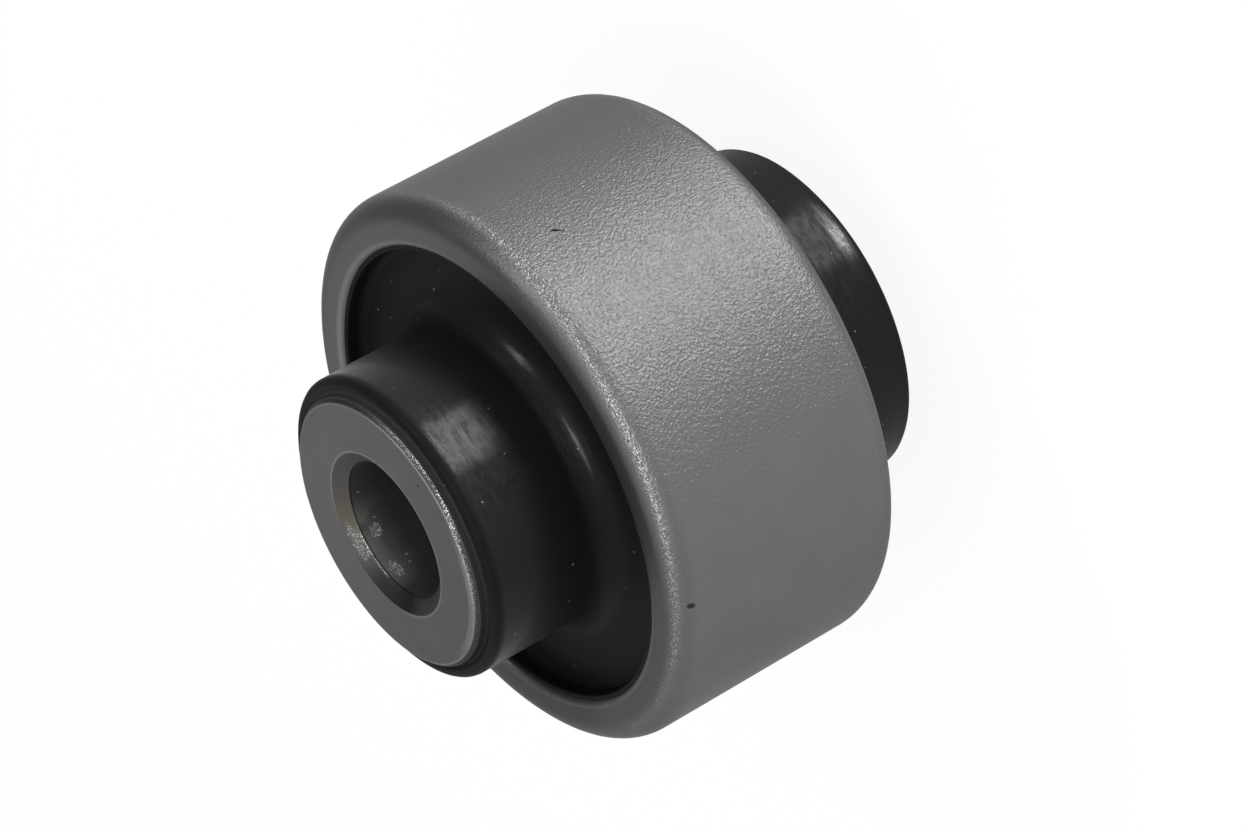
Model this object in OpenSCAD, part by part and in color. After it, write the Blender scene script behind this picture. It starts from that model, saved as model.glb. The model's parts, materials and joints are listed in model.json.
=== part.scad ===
// Rubber metal bush: a thick steel tube for the bolt, a heavy steel outer sleeve
// pressed into the arm's eye, and one rubber moulding bonded between them.
// It stands on its rear end; the front end, with the slimmer rubber collar, is up.

/* [Inner tube] */
// Diameter of the bolt bore
bolt_bore_d = 14.2; // [8:0.1:18]
// Outside diameter of the tube
tube_od = 27.8; // [24:0.1:29.5]
// Length over the two end faces, the size that is clamped
tube_len = 51; // [40:0.1:70]
// Radial width of the countersink at each mouth of the bore
mouth_w = 1.35; // [0.3:0.05:1.8]
// Depth of that countersink along the bore
mouth_h = 1; // [0.3:0.05:2]
// Small bevel on the outside edge of each end face
tube_bevel = 0.4; // [0.1:0.05:0.8]

/* [Outer sleeve] */
// Outside diameter, the press fit
sleeve_od = 57; // [54:0.1:66]
// Length of the sleeve
sleeve_len = 26.4; // [18:0.1:34]
// Wall thickness
sleeve_wall = 4.9; // [3.5:0.1:5.5]
// Radius of the two outside corners
sleeve_corner_r = 2.5; // [1:0.1:2.8]
// Radius of the two inside corners
sleeve_lip_r = 0.45; // [0.1:0.05:0.6]

/* [Rubber collars] */
// Diameter of the collar at the front end
front_collar_d = 31.2; // [30.6:0.1:33]
// Diameter of the collar at the rear end
rear_collar_d = 34.6; // [31:0.1:36]
// How far the tube stands out of the front collar
front_proud = 1; // [0.4:0.1:2.5]
// How far the tube stands out of the rear collar
rear_proud = 1.4; // [0.4:0.1:2.5]
// Radius of each collar's outside edge
collar_edge_r = 0.5; // [0.2:0.05:0.6]
// Radius of the dished groove where a collar's end meets the tube
dish_r = 0.7; // [0.2:0.05:0.75]

/* [Rubber recesses] */
// Depth of the front recess below the sleeve's end
front_recess = 2.5; // [1.5:0.1:6]
// Depth of the rear recess below the sleeve's end
rear_recess = 2.5; // [1.5:0.1:6]
// Radius that sweeps the front collar into its recess
front_cove_r = 3.2; // [1:0.1:3.6]
// Radius that sweeps the rear collar into its recess
rear_cove_r = 3; // [1:0.1:3.4]
// Thickness of the rubber skin that lines the sleeve above each recess
skin_t = 0.35; // [0.2:0.05:0.6]
// Radius between a recess and the skin
skin_cove_r = 1; // [0.4:0.1:1.4]

/* [Hidden] */
$fn = 128;

tube_r = tube_od / 2;
bore_r = bolt_bore_d / 2;
sleeve_r = sleeve_od / 2;
sleeve_bore_r = sleeve_r - sleeve_wall;
sleeve_z0 = (tube_len - sleeve_len) / 2;
sleeve_z1 = sleeve_z0 + sleeve_len;
mid_z = tube_len / 2;
skin_r = sleeve_bore_r - skin_t;
// how far a cutting or filling shape runs past the face it works on
over = 0.15;

// Fills the corner of two walls that meet at the origin and open into +X +Y
module cove(r) {
    difference() {
        translate([-over, -over]) square(r + over);
        translate([r, r]) circle(r);
    }
}

// Cuts a round of radius r off a corner at the origin whose solid lies in -X -Y
module round_off(r) {
    difference() {
        translate([-r, -r]) square(r + over);
        translate([-r, -r]) circle(r);
    }
}

// Half section of the tube: a plain wall, countersunk inside and bevelled outside
module tube_section() {
    polygon([
        [bore_r, mouth_h],
        [bore_r + mouth_w, 0],
        [tube_r - tube_bevel, 0],
        [tube_r, tube_bevel],
        [tube_r, tube_len - tube_bevel],
        [tube_r - tube_bevel, tube_len],
        [bore_r + mouth_w, tube_len],
        [bore_r, tube_len - mouth_h],
    ]);
}

// Half section of the sleeve, with all four corners rounded
module sleeve_section() {
    difference() {
        translate([sleeve_bore_r, sleeve_z0]) square([sleeve_wall, sleeve_len]);
        translate([sleeve_r, sleeve_z1]) round_off(sleeve_corner_r);
        translate([sleeve_r, sleeve_z0]) mirror([0, 1]) round_off(sleeve_corner_r);
        translate([sleeve_bore_r, sleeve_z1]) mirror([1, 0]) round_off(sleeve_lip_r);
        translate([sleeve_bore_r, sleeve_z0]) rotate(180) round_off(sleeve_lip_r);
    }
}

// Half section of one end of the rubber, from the bush's middle outwards along +Y:
// reach is the height of the collar's end, floor the height of the recess
module rubber_end(collar_r, reach, floor, cove_r) {
    difference() {
        union() {
            translate([tube_r, 0]) square([collar_r - tube_r, reach]);
            translate([tube_r, 0]) square([sleeve_bore_r - tube_r, floor]);
            translate([skin_r, 0]) square([skin_t, sleeve_len / 2 - sleeve_lip_r]);
            translate([collar_r, floor]) cove(cove_r);
            translate([skin_r, floor]) mirror([1, 0]) cove(skin_cove_r);
        }
        translate([collar_r, reach]) round_off(collar_edge_r);
        translate([tube_r, reach]) circle(dish_r);
    }
}

module rubber_section() {
    translate([0, mid_z])
        rubber_end(front_collar_d / 2, mid_z - front_proud, sleeve_len / 2 - front_recess, front_cove_r);
    translate([0, mid_z]) mirror([0, 1])
        rubber_end(rear_collar_d / 2, mid_z - rear_proud, sleeve_len / 2 - rear_recess, rear_cove_r);
}

module inner_tube() {
    color([0.36, 0.36, 0.37]) rotate_extrude() tube_section();
}

module rubber_body() {
    color([0.09, 0.09, 0.10]) rotate_extrude() rubber_section();
}

module outer_sleeve() {
    color([0.40, 0.41, 0.42]) rotate_extrude() sleeve_section();
}

inner_tube();
rubber_body();
outer_sleeve();
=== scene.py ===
# %% [markdown]
# Rubber metal bush
#
# The bush has three pieces: a steel tube for the bolt, a heavy steel sleeve and one rubber
# moulding bonded between them. All three are turned or moulded round, so each is made here
# the same way: half a section is drawn as straight lines and arcs, and carried round the
# bolt's axis. The finishes then do most of the work, because the real steel is blasted and
# phosphated, worn bright on its edges, and the rubber has a sheen and a little dust. Some
# highlights and shade are painted into the steel's colour as well.

# %% Load the model
import json
import math

import bpy
import numpy as np
from mathutils import Matrix, Vector


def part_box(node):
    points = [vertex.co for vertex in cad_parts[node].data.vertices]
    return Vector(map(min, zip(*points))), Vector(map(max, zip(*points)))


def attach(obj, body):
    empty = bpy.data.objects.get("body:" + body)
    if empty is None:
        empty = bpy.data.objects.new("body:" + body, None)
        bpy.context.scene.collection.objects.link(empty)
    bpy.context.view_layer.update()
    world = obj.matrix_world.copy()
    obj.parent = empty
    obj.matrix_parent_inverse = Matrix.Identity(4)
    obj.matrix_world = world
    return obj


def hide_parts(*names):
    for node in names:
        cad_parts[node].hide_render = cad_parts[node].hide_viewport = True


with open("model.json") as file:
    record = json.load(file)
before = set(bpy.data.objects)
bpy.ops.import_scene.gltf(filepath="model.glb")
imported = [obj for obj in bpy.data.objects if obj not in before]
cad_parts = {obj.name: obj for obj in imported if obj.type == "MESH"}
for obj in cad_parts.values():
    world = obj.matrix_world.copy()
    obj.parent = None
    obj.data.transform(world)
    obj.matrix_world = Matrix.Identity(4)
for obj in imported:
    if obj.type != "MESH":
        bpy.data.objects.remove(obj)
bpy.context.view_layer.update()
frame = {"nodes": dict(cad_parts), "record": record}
bpy.context.scene.view_settings.view_transform = "Standard"
MM = 0.001
print("nodes:", sorted(frame["nodes"]))

# %% [markdown]
# The camera
#
# The photo looks at the front end of the bush from a little under 27 degrees above the plane of
# its end face, and it is turned so that the bolt's axis runs down to the left. The camera is
# first set level and then rolled about its own line of sight. A long lens keeps the round
# faces from spreading, as in the photo.

# %% Camera
VIEW_ELEVATION = math.radians(26.83)
VIEW_ROLL = math.radians(-118.83)
VIEW_LENS = 152.6
SENSOR_WIDTH = 36
NEAREST = 0.01
CAMERA_AT = Vector((-1.01, -449.42, 250.61)) * MM


def aim(position, elevation, roll):
    """Matrix of a camera at position that looks along +Y and down by elevation e.

    The level axes are right = X, up = (0, sin e, cos e) and back = (0, -cos e, sin e). The roll
    r turns the first two: right' = cos r right + sin r up, up' = cos r up - sin r right.
    """
    right = Vector((1, 0, 0))
    up = Vector((0, math.sin(elevation), math.cos(elevation)))
    back = right.cross(up)
    rolled_right = right * math.cos(roll) + up * math.sin(roll)
    rolled_up = up * math.cos(roll) - right * math.sin(roll)
    turned = Matrix((rolled_right, rolled_up, back)).transposed().to_4x4()
    return Matrix.Translation(position) @ turned


camera = bpy.data.objects.new("camera", bpy.data.cameras.new("camera"))
bpy.context.scene.collection.objects.link(camera)
camera.data.lens = VIEW_LENS
camera.data.sensor_width = SENSOR_WIDTH
camera.data.clip_start = NEAREST
camera.matrix_world = aim(CAMERA_AT, VIEW_ELEVATION, VIEW_ROLL)
bpy.context.scene.camera = camera
print("camera", round(CAMERA_AT.length / MM), "mm from the bush")

# %% [markdown]
# Shader sums written as plain sums
#
# A finish is mostly arithmetic on noise and on distances. Wrapping a socket in a small class
# lets that arithmetic be written as Python, and each operator adds its own Math node.

# %% Sockets that can be added and multiplied
class Value:
    """One number per point of the surface: a socket that takes part in sums."""

    def __init__(self, nodes, socket):
        self.nodes = nodes
        self.socket = socket

    def math(self, operation, *others):
        return self.nodes.node("ShaderNodeMath", {"operation": operation}, self, *others)[0]

    def __add__(self, other):
        return self.math("ADD", other)

    __radd__ = __add__

    def __mul__(self, other):
        return self.math("MULTIPLY", other)

    __rmul__ = __mul__

    def __sub__(self, other):
        return self.math("SUBTRACT", other)

    def __rsub__(self, other):
        return self * -1 + other

    def __truediv__(self, other):
        return self.math("DIVIDE", other)

    def __pow__(self, other):
        return self.math("POWER", other)

    def size(self):
        return self.math("ABSOLUTE")

    def smooth(self, low, high):
        """0 below low, 1 above high and an S-shaped curve between; low may be above high."""
        curve = {"interpolation_type": "SMOOTHSTEP"}
        if low < high:
            return self.nodes.node("ShaderNodeMapRange", curve, self, low, high, 0.0, 1.0)[0]
        return self.nodes.node("ShaderNodeMapRange", curve, self, high, low, 1.0, 0.0)[0]


class Nodes:
    """The nodes of a material or of the world, added one by one."""

    def __init__(self, tree):
        self.tree = tree

    def node(self, kind, settings, *inputs, **named):
        """Adds a node of a kind. settings are set first, then inputs in order, then by name.

        It gives back all the node's outputs, in the order that they have in Blender.
        """
        made = self.tree.nodes.new(kind)
        for key, setting in settings.items():
            setattr(made, key, setting)
        wanted = list(enumerate(inputs)) + list(named.items())
        for key, given in wanted:
            socket = made.inputs[key if isinstance(key, int) else key.replace("_", " ")]
            self.feed(socket, given)
        return [Value(self, output) for output in made.outputs]

    def dot(self, first, second):
        """Dot product of two vectors."""
        product = {"operation": "DOT_PRODUCT"}
        return self.node("ShaderNodeVectorMath", product, first, second)[1]

    def feed(self, socket, given):
        """Links a Value to the socket, or sets the socket to a plain number or colour."""
        if isinstance(given, Value):
            self.tree.links.new(given.socket, socket)
        elif isinstance(given, tuple) and len(given) == 3 and socket.type == "RGBA":
            socket.default_value = (*given, 1.0)
        else:
            socket.default_value = given


class Finish(Nodes):
    """A material, its Principled shader, and the nodes that feed it."""

    def __init__(self, name):
        self.material = bpy.data.materials.new(name)
        self.material.use_nodes = True
        super().__init__(self.material.node_tree)
        self.shader = self.tree.nodes["Principled BSDF"]
        self.place = self.node("ShaderNodeTexCoord", {})[3]

    def set(self, **given):
        """Feeds the Principled shader's sockets; a name's spaces are written as underscores."""
        for key, what in given.items():
            self.feed(self.shader.inputs[key.replace("_", " ")], what)

    def noise(self, size_mm, detail=2.0, rough=0.5, stretch=(1, 1, 1), shift=0.0):
        """Soft noise from 0 to 1 whose blobs are about size_mm across; stretch lengthens them.

        shift moves the pattern, so that two noises of one size don't repeat each other.
        """
        lengths = tuple(MM * size_mm * each for each in stretch)
        near = self.node("ShaderNodeVectorMath", {"operation": "DIVIDE"}, self.place, lengths)[0]
        shifts = (shift, shift, shift)
        moved = self.node("ShaderNodeVectorMath", {"operation": "ADD"}, near, shifts)[0]
        settings = {"noise_dimensions": "3D"}
        sockets = {"Vector": moved, "Scale": 1.0, "Detail": detail, "Roughness": rough}
        return self.node("ShaderNodeTexNoise", settings, **sockets)[0]

    def painted(self, name):
        """A number that was painted on the mesh's points under that name."""
        return self.node("ShaderNodeAttribute", {"attribute_name": name})[2]

    def turned(self):
        """Radius and height in mm, and the angle in degrees, of a place about the bolt's axis.

        radius = sqrt(x^2 + y^2) and angle = atan2(y, x), from -180 to 180.
        """
        x, y, z = self.node("ShaderNodeSeparateXYZ", {}, self.place)
        angle = y.math("ARCTAN2", x) * math.degrees(1)
        return (x * x + y * y) ** 0.5 / MM, z / MM, angle

    def toward(self, azimuth):
        """How far a place lies from the bolt's axis in mm, in the direction of that azimuth."""
        turn = math.radians(azimuth)
        way = (math.cos(turn), math.sin(turn), 0)
        return self.dot(self.place, way) / MM

    def fleck(self, middle, along, length, width):
        """1 inside a long fleck and 0 outside; middle, length and width in mm, along a direction.

        With p the way from its middle and q = p . along, the rim is where
        (q / length)^2 + (p . p - q^2) / width^2 = 1.
        """
        centre = tuple(MM * each for each in middle)
        away = self.node("ShaderNodeVectorMath", {"operation": "SUBTRACT"}, self.place, centre)[0]
        q = self.dot(away, tuple(Vector(along).normalized()))
        whole = self.dot(away, away)
        rim = q * q / (MM * length) ** 2 + (whole - q * q) / (MM * width) ** 2
        return rim.smooth(1.5, 0.6)

    def mix(self, share, first, second):
        """Colour that goes from first to second as share goes from 0 to 1.

        The Mix node has one set of sockets for each type: its colours go in at 6 and 7.
        """
        node = self.tree.nodes.new("ShaderNodeMix")
        node.data_type = "RGBA"
        node.clamp_factor = True
        self.feed(node.inputs[0], share)
        self.feed(node.inputs[6], first)
        self.feed(node.inputs[7], second)
        return Value(self, node.outputs[2])

    def bump(self, height, depth_mm):
        """Normal tilted by a height map; a height of 1 stands depth_mm proud."""
        sockets = {"Strength": 1.0, "Distance": depth_mm * MM, "Height": height}
        return self.node("ShaderNodeBump", {}, **sockets)[0]


def about_axis(radius, degrees, height):
    """Place (r cos a, r sin a, h) in mm, from its radius, angle and height about the bolt."""
    turn = math.radians(degrees)
    return radius * math.cos(turn), radius * math.sin(turn), height


print("shader helpers ready")

# %% [markdown]
# Half sections
#
# On a turned piece every edge is a corner of its half section, cut back by an arc. So a section
# is written as its corners, each with the radius of its arc, and one function finds where each
# arc starts and ends. It walks with the steel or rubber on its left: up the outside, in along
# the top, down the inside and out along the bottom.

# %% Outline with rounded corners
LONG_STRAIGHT = 24.0
LONG_STEPS = 16
FEWEST_ARC_STEPS = 4


def rounded_outline(corners, spacing):
    """Closed outline in mm through corners (r, z, radius), with a point about every spacing.

    At a corner Q with unit directions a and b to its neighbours and the angle t between them,
    the arc touches both sides at a distance c = radius / tan(t / 2) from Q, and its centre lies
    on the bisector at radius / sin(t / 2). Its points are centre + radius (cos w, sin w), with
    w running evenly from one touching point to the other, twice as close as on a straight. A
    straight longer than LONG_STRAIGHT is a bore or a bonded face, with nothing on it, and has
    only LONG_STEPS steps.
    """
    places = np.array([corner[:2] for corner in corners], float)
    arcs = []
    for here, (_, _, radius) in enumerate(corners):
        corner = places[here]
        back = places[here - 1] - corner
        ahead = places[(here + 1) % len(places)] - corner
        back = back / np.linalg.norm(back)
        ahead = ahead / np.linalg.norm(ahead)
        half = math.acos(np.clip(back @ ahead, -1, 1)) / 2
        cut = radius / math.tan(half)
        bisector = (back + ahead) / np.linalg.norm(back + ahead)
        centre = corner + bisector * radius / math.sin(half)
        first = corner + back * cut - centre
        last = corner + ahead * cut - centre
        start = math.atan2(first[1], first[0])
        sweep = math.atan2(first[0] * last[1] - first[1] * last[0], first @ last)
        count = max(FEWEST_ARC_STEPS, round(abs(sweep) * radius / spacing * 2))
        w = start + sweep * np.linspace(0, 1, count + 1)
        arcs.append(centre + radius * np.stack([np.cos(w), np.sin(w)], 1))
    stretches = []
    for here, arc in enumerate(arcs):
        reach = arcs[(here + 1) % len(arcs)][0]
        length = np.linalg.norm(reach - arc[-1])
        count = LONG_STEPS if length > LONG_STRAIGHT else max(1, round(length / spacing))
        share = np.linspace(0, 1, count + 1)[1:-1, None]
        stretches += [arc, arc[-1] + (reach - arc[-1]) * share]
    return np.concatenate(stretches)


# %% [markdown]
# Carrying a section round the bolt
#
# The rows of the surface follow the section and its columns go once round the axis, so it
# closes on itself both ways, as a ring does. Relief moves each point along the section's own
# normal, which keeps the thickness honest. Whatever a finish needs to know about a place, such
# as how worn it is, is painted on the points as a number.

# %% A ring from a section
def ring(name, section, columns, relief, paint=None):
    """Closed surface P(i, j) = (R cos a, R sin a, Z), with a = 2 pi i / columns.

    (R, Z) = section(j) + relief(a, r, z) n(j), in mm, where n is the section's normal: its
    tangent (dr, dz) turned to (dz, -dr). relief and paint's functions take whole arrays.
    """
    r, z = section[:, 0], section[:, 1]
    tangent = np.roll(section, -1, 0) - np.roll(section, 1, 0)
    tangent = tangent / np.linalg.norm(tangent, axis=1)[:, None]
    angle = np.linspace(0, 2 * math.pi, columns, endpoint=False)[:, None]
    lift = relief(angle, r[None], z[None])
    radius = r + lift * tangent[:, 1]
    height = z - lift * tangent[:, 0]
    points = np.stack([radius * np.cos(angle), radius * np.sin(angle), height], -1) * MM
    i = np.arange(columns)[:, None]
    j = np.arange(len(r))[None]
    after_i = (i + 1) % columns
    after_j = (j + 1) % len(r)
    near = i * len(r)
    far = after_i * len(r)
    quads = np.stack([near + j, far + j, far + after_j, near + after_j], -1)
    mesh = bpy.data.meshes.new(name)
    mesh.from_pydata(points.reshape(-1, 3).tolist(), [], quads.reshape(-1, 4).tolist())
    mesh.polygons.foreach_set("use_smooth", np.ones(len(mesh.polygons), bool))
    for label, function in (paint or {}).items():
        numbers = np.broadcast_to(function(angle, r[None], z[None]), (columns, len(r)))
        layer = mesh.attributes.new(label, "FLOAT", "POINT")
        layer.data.foreach_set("value", np.ascontiguousarray(numbers, np.float32).ravel())
    piece = bpy.data.objects.new(name, mesh)
    bpy.context.scene.collection.objects.link(piece)
    print(name, "has", 2 * len(mesh.polygons), "triangles")
    return piece


def stand_in_for(piece, node):
    """Puts a finished ring in the place of a node of the model, which it then hides."""
    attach(piece, "root")
    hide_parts(node)


def waves(angle, seed, tallest=9):
    """Uneven but seamless line round the axis: the sum of s sin(k a + t) over the sum of s.

    k runs from 2 to tallest, t is drawn from 0 to 2 pi and s from 0.5 to 1, over sqrt(k).
    """
    random = np.random.default_rng(seed)
    k = np.arange(2, tallest + 1)
    shifts = random.uniform(0, 2 * math.pi, len(k))
    sizes = random.uniform(0.5, 1, len(k)) / np.sqrt(k)
    return (np.sin(np.asarray(angle)[..., None] * k + shifts) * sizes).sum(-1) / sizes.sum()


def bell(distance, width):
    """exp(-(distance / width)^2): 1 at the middle, about a third one width away."""
    return np.exp(-((distance / width) ** 2))


def ramp(value, start, end):
    """0 before start, 1 after end and straight between; start may be the larger of the two."""
    return np.clip((value - start) / (end - start), 0, 1)


def in_degrees(angle):
    """An angle from 0 to 2 pi, given as degrees from -180 to 180."""
    return np.degrees((angle + math.pi) % (2 * math.pi)) - 180


# %% [markdown]
# Sizes
#
# The overall sizes come from the model itself. The radii of edges and the shape of the rubber
# can't be read off a box, so they are named here with the values that the model was drawn to.
# Only small edges differ: the sleeve's inside lip is a little rounder here, as blasting leaves
# it, so is the outside edge of each collar, and the dish round the tube is shallower.

# %% Sizes in mm
sleeve_low, sleeve_high = (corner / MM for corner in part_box("outer_sleeve"))
rubber_low, rubber_high = (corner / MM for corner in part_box("rubber_body"))
_, tube_high = (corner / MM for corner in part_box("inner_tube"))
mounts = {mount["name"]: mount for mount in frame["record"]["mounts"]}
SLEEVE_R = mounts["sleeve_press_fit"]["dims"]["r_mm"]
BORE_R = mounts["bolt_bore"]["dims"]["r_mm"]
TUBE_LEN = tube_high.z
MOUTH_H = (TUBE_LEN - mounts["bolt_bore"]["dims"]["length_mm"]) / 2
TUBE_R = 13.9
MOUTH_R = 8.45
TUBE_BEVEL = 0.4
SLEEVE_BORE_R = 23.6
SLEEVE_CORNER_R = 2.5
SLEEVE_LIP_R = 0.85
FRONT_COLLAR_R = 15.6
REAR_COLLAR_R = 17.3
COLLAR_EDGE_R = 0.7
DISH_W = 0.7
DISH_H = 0.4
FILM = 0.04
RECESS = 2.5
FRONT_COVE_R = 3.2
REAR_COVE_R = 3.0
SKIN_R = 23.25
SKIN_COVE_R = 1.0
SKIN_DROP = 0.45
SLEEVE_Z0, SLEEVE_Z1 = sleeve_low.z, sleeve_high.z
print("sleeve", round(SLEEVE_Z0, 2), "to", round(SLEEVE_Z1, 2), "of", round(TUBE_LEN, 2))

# %% [markdown]
# The outer sleeve
#
# It is cut from heavy tube, its four corners are rounded, and it is then shot-blasted and
# phosphated. The blasting leaves a close grain of shallow dents, a third of a millimetre across.
# The grain is far too fine for the mesh and goes into the finish, but the mesh carries the slow
# unevenness of the wall and the corner's flats, which the light shows as a restless edge.
#
# The outside corner is rubbed bare along a line. How bare is worked out here for each point and
# painted on the mesh, since the line climbs over the corner as it goes round.

# %% Sleeve surface
SLEEVE_SPACING = 0.55
SLEEVE_COLUMNS = 512
WALL_RELIEF = 0.02
CORNER_RELIEF = 0.03
LINE_START = 45
LINE_END = 155
LOW_SLOPE = 12
HIGH_SLOPE = 68
TRACE = 0.22
BARE = 0.9
LINE_W = 0.42
sleeve_section = rounded_outline(
    [
        (SLEEVE_R, SLEEVE_Z0, SLEEVE_CORNER_R),
        (SLEEVE_R, SLEEVE_Z1, SLEEVE_CORNER_R),
        (SLEEVE_BORE_R, SLEEVE_Z1, SLEEVE_LIP_R),
        (SLEEVE_BORE_R, SLEEVE_Z0, SLEEVE_LIP_R),
    ],
    SLEEVE_SPACING,
)
CORNER_R = SLEEVE_R - SLEEVE_CORNER_R
CORNER_Z = SLEEVE_Z1 - SLEEVE_CORNER_R
SLEEVE_MID_Z = (SLEEVE_Z0 + SLEEVE_Z1) / 2


def from_end(z):
    """Height over the middle of the nearer corner's arc, the same for both ends."""
    return np.abs(z - SLEEVE_MID_Z) - (CORNER_Z - SLEEVE_MID_Z)


def sleeve_relief(angle, r, z):
    """Slow waves on the wall, and quick ones on the middle of each outside corner's arc."""
    slow = WALL_RELIEF * waves(angle, 11) * bell(r - SLEEVE_R, 2)
    middle = CORNER_R + SLEEVE_CORNER_R * 0.7
    from_middle = np.hypot(r - middle, from_end(z) - 1.8)
    flats = CORNER_RELIEF * waves(angle, 12, 60) * bell(from_middle, 0.8)
    return slow + flats


def corner_wear(angle, r, z):
    """A rubbed line a millimetre wide that climbs the corner's arc as it goes round the sleeve.

    It lies at LOW_SLOPE degrees from the wall up to -LINE_START, and at HIGH_SLOPE from
    -LINE_END on. It is bare at the front end, from -30 to -162, and a faint trace elsewhere.
    """
    phi = in_degrees(angle)
    way = ramp(-phi, LINE_START, LINE_END)
    slope = np.radians(LOW_SLOPE + (HIGH_SLOPE - LOW_SLOPE) * way**0.8)
    line_r = CORNER_R + SLEEVE_CORNER_R * np.cos(slope)
    line_z = SLEEVE_CORNER_R * np.sin(slope)
    front = z > SLEEVE_MID_Z
    strong = ramp(-phi, 30, 44) * ramp(phi, -162, -132) * front
    strength = TRACE + (BARE - TRACE) * strong
    width = LINE_W + 0.1 * waves(angle, 13, 50)
    return strength * bell(np.hypot(r - line_r, from_end(z) - line_z), width)


def end_face(angle, r, z):
    """0 on the wall, 1 on the flat end faces and between them over the corner's upper half."""
    return ramp(r, SLEEVE_R - 1.1, SLEEVE_R - 2.6) + 0 * angle


sleeve = ring(
    "blasted_sleeve",
    sleeve_section,
    SLEEVE_COLUMNS,
    sleeve_relief,
    {"corner": corner_wear, "end_face": end_face},
)
stand_in_for(sleeve, "outer_sleeve")

# %% [markdown]
# The bolt tube
#
# A thick tube, faced off square and countersunk at both mouths on a lathe, so its edges are
# crisp: arcs of about a tenth of a millimetre are enough to catch the light. Its outside
# bevel is a little uneven, where it has been knocked.

# %% Tube surface
TUBE_SPACING = 0.6
TUBE_COLUMNS = 480
BEVEL_RELIEF = 0.03
FINE_EDGE = 0.06
tube_section = rounded_outline(
    [
        (TUBE_R, TUBE_BEVEL, FINE_EDGE),
        (TUBE_R, TUBE_LEN - TUBE_BEVEL, FINE_EDGE),
        (TUBE_R - TUBE_BEVEL, TUBE_LEN, FINE_EDGE),
        (MOUTH_R, TUBE_LEN, FINE_EDGE * 2),
        (BORE_R, TUBE_LEN - MOUTH_H, FINE_EDGE),
        (BORE_R, MOUTH_H, FINE_EDGE),
        (MOUTH_R, 0, FINE_EDGE * 2),
        (TUBE_R - TUBE_BEVEL, 0, FINE_EDGE),
    ],
    TUBE_SPACING,
)
BEVEL_R = TUBE_R - TUBE_BEVEL / 2


def tube_relief(angle, r, z):
    """Quick waves on the middle of each outside bevel."""
    from_end_face = np.minimum(z, TUBE_LEN - z)
    from_middle = np.hypot(r - BEVEL_R, from_end_face - TUBE_BEVEL / 2)
    return BEVEL_RELIEF * waves(angle, 21, 90) * bell(from_middle, 0.3)


tube = ring("bolt_tube", tube_section, TUBE_COLUMNS, tube_relief)
stand_in_for(tube, "inner_tube")

# %% [markdown]
# The rubber moulding
#
# One piece: a collar round the tube at each end, a recess between collar and sleeve, and a thin
# skin up the sleeve's wall. Rubber fills a mould's corners with soft arcs, so almost every
# corner of its section has a generous radius. Next to the tube the collar's end is dished, and
# a film of rubber, less than a tenth of a millimetre thick, has crept up the tube to its bevel.
#
# Two numbers are painted on the points: the gloss, which is how well the mould was polished
# there, and the film.

# %% Rubber surface
RUBBER_SPACING = 0.5
RUBBER_COLUMNS = 420
RUBBER_RELIEF = 0.03
RIPPLE = 0.015
FRONT_END = rubber_high.z
REAR_END = rubber_low.z
FRONT_FLOOR = SLEEVE_Z1 - RECESS
REAR_FLOOR = SLEEVE_Z0 + RECESS
SKIN_FRONT = SLEEVE_Z1 - SKIN_DROP
SKIN_REAR = SLEEVE_Z0 + SKIN_DROP
SKIN_EDGE = 0.2
SKIN_LAP = 0.1
SKIN_LAP_H = 0.4
DISH_EDGE = 0.3
DISH_FOOT = 0.25
FILM_END = TUBE_BEVEL + 0.06
rubber_section = rounded_outline(
    [
        (SLEEVE_BORE_R + SKIN_LAP, SKIN_REAR, 0.02),
        (SLEEVE_BORE_R, SKIN_REAR + SKIN_LAP_H, 0.1),
        (SLEEVE_BORE_R, SKIN_FRONT - SKIN_LAP_H, 0.1),
        (SLEEVE_BORE_R + SKIN_LAP, SKIN_FRONT, 0.02),
        (SKIN_R, SKIN_FRONT, SKIN_EDGE),
        (SKIN_R, FRONT_FLOOR, SKIN_COVE_R),
        (FRONT_COLLAR_R, FRONT_FLOOR, FRONT_COVE_R),
        (FRONT_COLLAR_R, FRONT_END, COLLAR_EDGE_R),
        (TUBE_R + DISH_W, FRONT_END, DISH_EDGE),
        (TUBE_R + FILM, FRONT_END - DISH_H, DISH_FOOT),
        (TUBE_R + FILM, TUBE_LEN - FILM_END, 0.02),
        (TUBE_R, TUBE_LEN - FILM_END, 0.01),
        (TUBE_R, FILM_END, 0.01),
        (TUBE_R + FILM, FILM_END, 0.02),
        (TUBE_R + FILM, REAR_END + DISH_H, DISH_FOOT),
        (TUBE_R + DISH_W, REAR_END, DISH_EDGE),
        (REAR_COLLAR_R, REAR_END, COLLAR_EDGE_R),
        (REAR_COLLAR_R, REAR_FLOOR, REAR_COVE_R),
        (SKIN_R, REAR_FLOOR, SKIN_COVE_R),
        (SKIN_R, SKIN_REAR, SKIN_EDGE),
    ],
    RUBBER_SPACING,
)


def rubber_relief(angle, r, z):
    """Slow waves and a faint ripple, where the rubber is bonded to neither metal."""
    free = ramp(r, SLEEVE_BORE_R - 0.2, SLEEVE_BORE_R - 0.5) * ramp(r, TUBE_R + 0.2, TUBE_R + 0.5)
    ripple = RIPPLE * waves(angle, 32, 24) * np.sin(z / 2.2)
    return free * (RUBBER_RELIEF * waves(angle, 31) + ripple)


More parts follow.
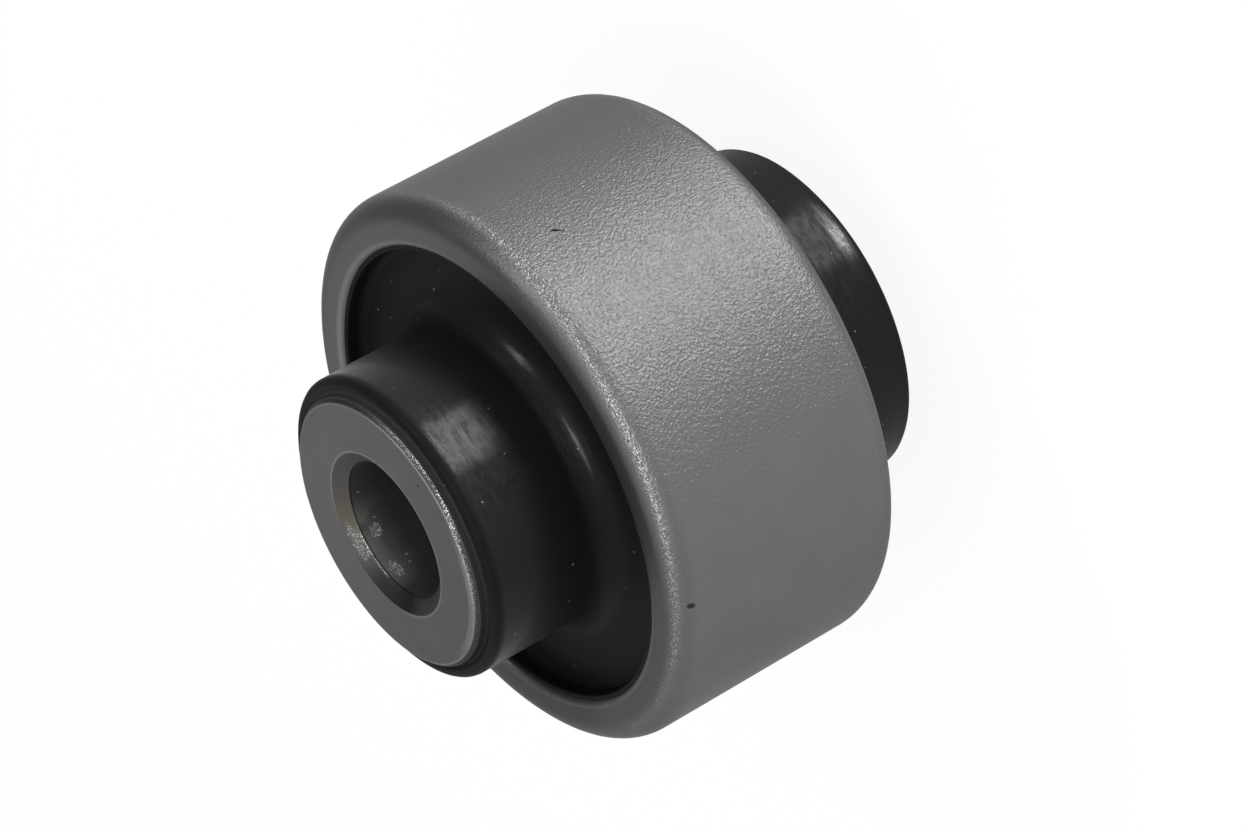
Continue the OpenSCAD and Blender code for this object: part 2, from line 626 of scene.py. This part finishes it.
def gloss(angle, r, z):
    """How well the mould was polished: most on the front collar's wall, less elsewhere.

    On the front cove and on the band round the rear collar's end a few places shine more.
    """
    phi = in_degrees(angle)
    wall = ramp(z, FRONT_END - 11, FRONT_END - 7) * ramp(z, FRONT_END - 0.6, FRONT_END - 1.1)
    shaded = 1 - 0.4 * ramp(-phi, 95, 125)
    up = z - FRONT_FLOOR
    cove = ramp(up, 0.1, 0.5) * ramp(up, 3.4, 2.8)
    cove = cove * (0.36 + 0.4 * (bell(phi + 56, 9) + bell(phi + 90, 11)))
    band = ramp(z, REAR_END + 0.5, REAR_END + 0.9) * ramp(z, REAR_END + 2.2, REAR_END + 1.9)
    band = band * (0.5 + 2.4 * bell(phi + 76, 7))
    rear_wall = 0.5 * (z < REAR_FLOOR) * (z > REAR_END + 1)
    ends = 0.05 * ((z > FRONT_END - 0.3) | (z < REAR_END + 0.3)) * (r > TUBE_R + 0.6)
    most = np.maximum(np.maximum(wall, cove) * shaded, np.maximum(band, rear_wall))
    return np.maximum(most, ends) * (r < SKIN_R - 1.5)


def film(angle, r, z):
    """1 on the film and at the dish's foot, falling to 0 just outside the dish."""
    return ramp(r, TUBE_R + DISH_W + 0.3, TUBE_R + DISH_W - 0.4) + 0 * angle


rubber = ring(
    "rubber_moulding",
    rubber_section,
    RUBBER_COLUMNS,
    rubber_relief,
    {"gloss": gloss, "film": film},
)
stand_in_for(rubber, "rubber_body")

# %% [markdown]
# Blasted and phosphated steel
#
# Phosphate turns steel a flat dark grey that still reflects as metal does, softly. What the eye
# sees is the blasting: a relief like orange peel, a third of a millimetre from crest to crest,
# with a sharper grit on it. It is all in the bump, so it shows where a lamp grazes it and fades
# out in even light, as on the real one. Its depth changes on the way round the sleeve, and it is
# flatter on the corners. Along the painted line the crests are rubbed bare. Three small marks are
# as black as a pit. Light and shade are painted into the coat too: the end faces are painted
# lighter on one side and darker on the other, with painted shade on one stretch of the end face
# and on one side of the outside corner's arc, and the inside lip has a painted highlight.
#
# Colours that come in pairs are mixed by a noise, or by the direction from the axis for the end
# faces' painted light and shade.

# %% Sleeve finish
WALL_COATS = (0.158, 0.158, 0.161), (0.168, 0.168, 0.171)
FACE_SHADED_AND_LIT = (0.13, 0.13, 0.132), (0.185, 0.185, 0.189)
FACE_SHADE_COAT = (0.1, 0.1, 0.102)
LIP_HIGHLIGHT_COAT = (0.28, 0.28, 0.28)
SHADED_COAT = (0.11, 0.11, 0.112)
BARE_STEEL = (0.6, 0.6, 0.6)
MARK_BLACK = (0.01, 0.01, 0.011)
SLEEVE_TINT = (0.55, 0.55, 0.56)
GRAIN_DEPTH = 0.13
SLANT = (-0.48, -0.4, -0.78)
sleeve_steel = Finish("blasted_phosphated_steel")
radius, _, angle = sleeve_steel.turned()
face = sleeve_steel.painted("end_face")
corner = sleeve_steel.painted("corner")
peel = sleeve_steel.noise(0.31, 1.5, 0.5)
grit = sleeve_steel.noise(0.17, 1.5, 0.6, shift=7.0)
cloud = sleeve_steel.noise(6.0, 3.0, 0.6, shift=3.0)
scratch = sleeve_steel.noise(0.12, 1.5, 0.6, shift=9.0)
worn = corner * (scratch * 0.75 + peel * 0.25).smooth(0.5, 0.58) * (cloud * 0.6 + 0.6)

coat = sleeve_steel.mix(cloud.smooth(0.25, 0.75), *WALL_COATS)
# Painted light and shade: the end faces are painted lighter towards 35 degrees and darker on the
# opposite side.
ends = sleeve_steel.mix(sleeve_steel.toward(35).smooth(-28, 28), *FACE_SHADED_AND_LIT)
# Painted shade: a stretch of the end face from about 116 to 180 degrees is painted darker.
face_shade = angle.smooth(116, 138) * angle.smooth(180, 160)
ends = sleeve_steel.mix(face_shade * 0.85, ends, FACE_SHADE_COAT)
coat = sleeve_steel.mix(face, coat, ends)
# Painted highlight: a lighter band round the inside lip's rounding.
lip_highlight = (radius - SLEEVE_BORE_R - 0.55).size().smooth(0.4, 0.05)
coat = sleeve_steel.mix(lip_highlight * (0.3 + 0.4 * grit.smooth(0.42, 0.58)), coat, LIP_HIGHLIGHT_COAT)
arc = radius.smooth(SLEEVE_R - 0.1, SLEEVE_R - 0.7) * (1 - corner)
# Painted shade on the outside corner's arc, from about -10 to -100 degrees.
shaded = arc * (1 - face) * radius.smooth(SLEEVE_R - 1.7, SLEEVE_R - 0.7)
shaded = shaded * (angle * -1).smooth(10, 60) * (angle * -1).smooth(100, 62)
coat = sleeve_steel.mix(shaded, coat, SHADED_COAT)
coat = sleeve_steel.mix(worn, coat, BARE_STEEL)
mark = sleeve_steel.fleck(about_axis(28.5, -54.0, 31.98), SLANT, 0.45, 0.13)
mark = mark + sleeve_steel.fleck(about_axis(28.53, -54.86, 31.5), SLANT, 0.4, 0.06)
mark = mark + sleeve_steel.fleck(about_axis(28.28, -132.19, 37.22), SLANT, 0.42, 0.28) * 0.8
coat = sleeve_steel.mix(mark, coat, MARK_BLACK)

sides = (angle * -1).smooth(12, 66) + angle.smooth(30, 60)
share = 0.4 + 0.6 * sides - 0.4 * angle.size().smooth(92, 125)
height = (peel + grit * 0.55) * (1 - arc * 0.78) * share
sleeve_steel.set(
    Base_Color=coat,
    Metallic=1.0,
    Roughness=0.44 - worn * 0.1,
    Specular_Tint=SLEEVE_TINT,
    Normal=sleeve_steel.bump(height, GRAIN_DEPTH),
)
sleeve.data.materials.append(sleeve_steel.material)
print("sleeve finish:", len(sleeve_steel.tree.nodes), "nodes")

# %% [markdown]
# Turned steel
#
# The tube has the same coat over a turned surface, so it is smoother. Its bright places are
# lines a few tenths of a millimetre wide, finer than the mesh should be, so they are worked out
# in the finish from the distance to the edge that they follow: the outside bevel, which has been
# knocked bare on one side, and the rim of the countersink. The knocked line follows the bevel's
# lower edge and crosses to its upper one near -98 degrees. The line round the countersink's rim,
# a thin one along the end face's outer edge and a wider one along that rim from about -100 to
# -180 degrees are painted highlights.

# %% Tube edges
tube_steel = Finish("turned_phosphated_steel")
grain = tube_steel.noise(0.3, 3.0, 0.6)
fine = tube_steel.noise(0.14, 2.0, 0.7, shift=5.0)
cloud = tube_steel.noise(5.0, 3.0, 0.6, shift=2.0)
radius, up, angle = tube_steel.turned()
depth = TUBE_LEN / 2 - (up - TUBE_LEN / 2).size()

across = (angle * -1).smooth(88, 108)
line_r = radius - TUBE_R + across * TUBE_BEVEL
line_z = depth - (1 - across) * TUBE_BEVEL
line = ((line_r**2 + line_z**2) ** 0.5).smooth(0.5, 0.04)
knocked = (angle * -1).smooth(36, 80) * angle.smooth(-170, -100)
worn = (line * 0.15 + fine + cloud * 0.1).smooth(0.66, 0.74) * line.smooth(0.0, 0.25) * knocked
from_edge = radius - TUBE_R + TUBE_BEVEL
# Painted highlights: a thin light line along the end face's outer edge, and a wider one from about
# -100 to -180 degrees.
face_edge_highlight = from_edge.size().smooth(0.2, 0.04) * depth.smooth(0.1, 0.0)
wide_edge_highlight = (from_edge + 0.4).size().smooth(0.55, 0.1) * depth.smooth(0.1, 0.0)
wide_edge_highlight = wide_edge_highlight * (angle * -1).smooth(92, 122) * angle.smooth(-180, -155) * (cloud * 0.8 + 0.6)
bevel = from_edge.smooth(0.03, 0.12) * depth.smooth(0.45, 0.38)
# Painted highlight round the countersink's rim, faint from 46 to 156 degrees.
rim = (radius - MOUTH_R - 0.06).size().smooth(0.24, 0.02) * depth.smooth(0.12, 0.0)
rim = rim * (1 - angle.smooth(46, 70) * angle.smooth(156, 136) * 0.9)
print("lines on the tube's edges ready")

# %% [markdown]
# The coat and the mouth of the bore
#
# The end face is painted darker on one side: painted shade. The countersink is darker than the
# face, with painted shade on one part of it and a light rust on the next. The bore is barer than
# the rest: a few scuffs in its mouth, where a bolt has been put through, with some bare specks
# round them, and their glitter is painted in as near-white colour. A painted highlight runs along
# the countersink's inner edge on one side, with a line of painted shade under it. Each scuff and
# speck is a fleck at a radius, an angle and a height, where the real one has it.

# %% Tube coat
TUBE_COATS = (0.186, 0.186, 0.191), (0.2, 0.2, 0.206)
SIDE_SHADE_COAT = (0.1, 0.1, 0.1)
EDGE_HIGHLIGHT_COAT = (0.34, 0.34, 0.345)
BEVEL_COAT = (0.06, 0.06, 0.06)
MOUTH_COAT = (0.1, 0.099, 0.096)
COUNTERSINK_SHADE_COAT = (0.03, 0.03, 0.029)
RUST = (0.13, 0.108, 0.086)
BORE_COATS = (0.26, 0.26, 0.26), (0.6, 0.6, 0.59)
SHADE_UNDER_EDGE_COAT = (0.03, 0.03, 0.03)
BRIGHT_STEEL = (0.6, 0.59, 0.57)
SPOT_BLACK = (0.015, 0.015, 0.015)
TUBE_TINT = (0.6, 0.6, 0.6)
TURNING_DEPTH = 0.022
BORE_SPECKS = [(47.7, 49.0), (73.5, 48.1), (110.6, 47.1), (117.3, 47.3)]
countersink = radius.smooth(MOUTH_R + 0.02, MOUTH_R - 0.05)
bore = depth.smooth(MOUTH_H + 0.02, MOUTH_H + 0.08) * countersink
scuffs = tube_steel.fleck(about_axis(7.68, 84.77, 50.4), (-1, 0.05, 0), 2.2, 0.75) * 0.8
scuffs = scuffs + tube_steel.fleck(about_axis(BORE_R, 82.72, 48.5), (-1, 0.1, 0), 0.8, 0.7)
scuffs = scuffs + tube_steel.fleck(about_axis(BORE_R, 116.78, 48.9), (-0.9, -0.45, 0), 1.1, 0.6)
# The scuffs and specks are real wear; their glints are painted in as near-white, non-metal colour.
glint = (scuffs * 0.21 + fine * 0.7 + grain * 0.3).smooth(0.67, 0.85)
for degrees, height in BORE_SPECKS:
    speck = tube_steel.fleck(about_axis(BORE_R, degrees, height), (0, 0, 1), 0.16, 0.07)
    glint = glint + speck * 0.5
# Painted highlight: a thin bright line along the countersink's inner edge, from 72 to 124 degrees.
inner_edge_highlight = (depth - MOUTH_H + 0.04).size().smooth(0.08, 0.01) * countersink
inner_edge_highlight = inner_edge_highlight * angle.smooth(72, 84) * angle.smooth(124, 112)
inner_edge_highlight = inner_edge_highlight * fine.smooth(0.48, 0.56) * 0.8
# Painted shade: a dark line just under the countersink's inner edge, in the bore.
shade_under_edge = (depth - MOUTH_H - 0.12).size().smooth(0.12, 0.03) * bore * 0.7

coat = tube_steel.mix(cloud.smooth(0.3, 0.7), *TUBE_COATS)
# Painted shade: the tube is painted darker on the side away from 15 degrees, which shows on its
# end face.
side_shade = 0.4 - tube_steel.toward(15).smooth(-14, 14) * 0.4
coat = tube_steel.mix(side_shade, coat, SIDE_SHADE_COAT)
coat = tube_steel.mix(face_edge_highlight * 0.5 + rim * 0.55 + wide_edge_highlight * 0.6, coat, EDGE_HIGHLIGHT_COAT)
coat = tube_steel.mix(bevel, coat, BEVEL_COAT)
# Painted shade on the countersink, from about 90 to 168 degrees.
countersink_shade = angle.smooth(90, 122) * angle.smooth(168, 148) * 0.9
mouth = tube_steel.mix(countersink_shade, MOUTH_COAT, COUNTERSINK_SHADE_COAT)
rust = angle.smooth(28, 50) * angle.smooth(92, 62) * (cloud * 0.6 + grain * 0.4).smooth(0.42, 0.56)
mouth = tube_steel.mix(rust * 0.7, mouth, RUST)
coat = tube_steel.mix(countersink, coat, mouth)
swept = angle.smooth(45, 75) * angle.smooth(142, 122)
swept = swept * depth.smooth(5.5, 1.5) * cloud.smooth(0.35, 0.55)
coat = tube_steel.mix(bore, coat, tube_steel.mix(swept, *BORE_COATS))
coat = tube_steel.mix(shade_under_edge, coat, SHADE_UNDER_EDGE_COAT)
# Bright steel: real wear on the bevel, the painted highlight on the countersink's edge and the
# painted glints.
coat = tube_steel.mix(worn * 0.7 + inner_edge_highlight + glint, coat, BRIGHT_STEEL)
spot = tube_steel.fleck(about_axis(11.92, -78.24, TUBE_LEN), (1, 0, 0), 0.16, 0.16)
coat = tube_steel.mix(spot * 0.8, coat, SPOT_BLACK)
tube_steel.set(
    Base_Color=coat,
    Metallic=1 - glint * 0.9,
    Roughness=0.5 - worn * 0.15 - bore * 0.08,
    Specular_Tint=TUBE_TINT,
    Normal=tube_steel.bump(grain * 0.5 + fine * (0.3 + worn), TURNING_DEPTH),
)
tube.data.materials.append(tube_steel.material)
print("tube finish:", len(tube_steel.tree.nodes), "nodes")

# %% [markdown]
# Black rubber
#
# Moulded rubber is nearly black. Most of it is dull, and its look comes from two sheens: a
# broad faint one everywhere, and a sharper one where the mould was polished, which is given as a
# thin clear coat. Turning marks from the mould break that one into fine lines round the collar,
# on the side where the mould was scoured. The film on the tube is a little greyer. A few pale
# specks of dust sit on the rubber: a speck is the middle of a Voronoi cell, and only the cells
# whose random number is high enough have one.

# %% Rubber finish
BLACKS = (0.0048, 0.0048, 0.005), (0.0064, 0.0064, 0.0067)
FILM_GREYS = (0.02, 0.02, 0.02), (0.045, 0.045, 0.045)
DUST_GREY = (0.3, 0.3, 0.29)
DUST_CELL = 1.5
RUBBER_DEPTH = 0.017
bush_rubber = Finish("moulded_black_rubber")
_, _, angle = bush_rubber.turned()
polish = bush_rubber.painted("gloss")
skin = bush_rubber.noise(0.2, 2.0, 0.6)
turning = bush_rubber.noise(0.26, 2.0, 0.7, stretch=(8, 8, 1), shift=3.0)
blotch = bush_rubber.noise(0.8, 3.0, 0.7, shift=8.0)
slow = bush_rubber.noise(3.5, 2.0, 0.5, shift=4.0)
cells = bush_rubber.node(
    "ShaderNodeTexVoronoi",
    {"feature": "F1"},
    Vector=bush_rubber.place,
    Scale=1 / (DUST_CELL * MM),
)
chance = bush_rubber.node("ShaderNodeSeparateColor", {}, cells[1])[0]
dust = cells[0].smooth(0.085, 0.04) * chance.smooth(0.5, 1.0)
scoured = angle.smooth(-105, -92) * angle.smooth(-52, -62) * 0.85 + 0.15
marks = (turning * 0.5 + blotch * 0.3 + skin * 0.2).smooth(0.42, 0.58)
marks = (marks - 0.5) * scoured + 0.5
black = bush_rubber.mix(slow, *BLACKS)
# The film is greyer on the side towards -65 degrees.
greyer_film_side = bush_rubber.painted("film") * bush_rubber.toward(-65).smooth(-10, 14)
black = bush_rubber.mix(greyer_film_side, black, bush_rubber.mix(skin, *FILM_GREYS))
bush_rubber.set(
    Base_Color=bush_rubber.mix(dust, black, DUST_GREY),
    Metallic=0.0,
    Roughness=0.64 - polish * 0.14 + (skin - 0.5) * 0.2,
    Specular_IOR_Level=0.1,
    Coat_Weight=polish * (0.15 + marks * 0.28) * (1 - dust),
    Coat_Roughness=0.2,
    Coat_IOR=1.5,
    Normal=bush_rubber.bump(skin * 0.5 + turning * scoured * 0.4 + blotch * 0.4, RUBBER_DEPTH),
)
rubber.data.materials.append(bush_rubber.material)
print("rubber finish:", len(bush_rubber.tree.nodes), "nodes")

# %% [markdown]
# The floor
#
# The photo was taken on white, with a faint shadow. A floor that is lit like any other thing
# turns grey, so this white paper shows the camera mostly a plain white. One tenth of what is
# seen is its own shading, which carries the shadow, and the plain white is a little over 1 to
# make up for it. It casts no shadow itself, since the main lamp stands below its level.

# %% Floor
FLOOR_HALF = 3.0
SHADING_SHARE = 0.1
PAPER_WHITE = 1.02
PAPER_GREY = 0.9


def looked_at(nodes):
    """1 on a camera, glossy or transmission ray, which show a thing, and 0 on one that lights."""
    path = nodes.node("ShaderNodeLightPath", {})
    return (path[0] + path[3] + path[6]).smooth(0.0, 1.0)


def paper(name):
    """White paper whose own shading is mixed with plain white where it is seen or mirrored."""
    finish = Finish(name)
    grey = (PAPER_GREY, PAPER_GREY, PAPER_GREY)
    finish.set(Base_Color=grey, Roughness=0.9, Specular_IOR_Level=0.0)
    white = finish.node("ShaderNodeEmission", {}, Color=(1.0, 1.0, 1.0), Strength=PAPER_WHITE)[0]
    share = looked_at(finish) * (1 - SHADING_SHARE)
    blend = finish.node("ShaderNodeMixShader", {}, share)[0]
    mixer = blend.socket.node
    finish.tree.links.new(finish.shader.outputs[0], mixer.inputs[1])
    finish.tree.links.new(white.socket, mixer.inputs[2])
    output = finish.tree.nodes["Material Output"]
    finish.tree.links.new(blend.socket, output.inputs["Surface"])
    return finish.material


floor_mesh = bpy.data.meshes.new("floor")
corners = [(-1, -1), (1, -1), (1, 1), (-1, 1)]
corners = [(x * FLOOR_HALF, y * FLOOR_HALF, 0) for x, y in corners]
floor_mesh.from_pydata(corners, [], [(0, 1, 2, 3)])
floor = bpy.data.objects.new("floor", floor_mesh)
bpy.context.scene.collection.objects.link(floor)
floor.data.materials.append(paper("white_paper"))
floor.visible_shadow = False
print("floor", 2 * FLOOR_HALF, "m wide")

# %% [markdown]
# The room
#
# The walls are white and a little less bright than the background that the camera sees. One
# corner of the room is darker, and the countersink and the shaded side of the sleeve show it.

# %% Room
WALLS = 0.75
MIRRORED_WALLS = 0.8
DARKENING = 0.8


def direction(azimuth, elevation):
    """Unit vector (cos e cos a, cos e sin a, sin e) of an azimuth a and elevation e in degrees."""
    turn = math.radians(azimuth)
    rise = math.radians(elevation)
    level = math.cos(rise)
    return Vector((level * math.cos(turn), level * math.sin(turn), math.sin(rise)))


DARK_CORNER = direction(30, 42)
world = bpy.data.worlds.new("white_room")
bpy.context.scene.world = world
world.use_nodes = True
room = Nodes(world.node_tree)
background = world.node_tree.nodes["Background"]
room.feed(background.inputs["Color"], (1.0, 1.0, 1.0))
facing = room.node("ShaderNodeTexCoord", {})[0]
near_corner = room.dot(facing, tuple(DARK_CORNER))
walls = WALLS + (MIRRORED_WALLS - WALLS) * looked_at(room)
walls = walls * (1 - DARKENING * near_corner.smooth(0.6, 0.95))
seen = room.node("ShaderNodeLightPath", {})[0]
room.feed(background.inputs["Strength"], seen + (1 - seen) * walls)
print("room ready")

# %% [markdown]
# The lamps
#
# One large soft light is reflected as a band along the sleeve and a patch on each collar. Here
# that is the key lamp; two smaller ones give the lights on the front cove. The key stands below
# the floor's level, so only shadow rays, which the floor lets through, may look for it: that is
# what turning its multiple importance sampling off does.

# %% Lamps
LAMP_DISTANCE = 0.8


def softbox(name, azimuth, elevation, width, height, power):
    """Rectangular lamp that faces the middle of the bush from the given direction."""
    lamp = bpy.data.lights.new(name, "AREA")
    lamp.shape = "RECTANGLE"
    lamp.size = width
    lamp.size_y = height
    lamp.energy = power
    place = bpy.data.objects.new(name, lamp)
    bpy.context.scene.collection.objects.link(place)
    away = direction(azimuth, elevation)
    target = Vector((0, 0, TUBE_LEN / 2 * MM))
    turned = away.to_track_quat("Z", "Y").to_matrix().to_4x4()
    place.matrix_world = Matrix.Translation(target + away * LAMP_DISTANCE) @ turned
    return place


key = softbox("key", -55.5, -27, width=0.5, height=0.3, power=4.1)
key.data.cycles.use_multiple_importance_sampling = False
softbox("top", -105, 62, width=0.33, height=0.1, power=1.6)
softbox("side", -15, 51, width=0.2, height=0.2, power=1.4)
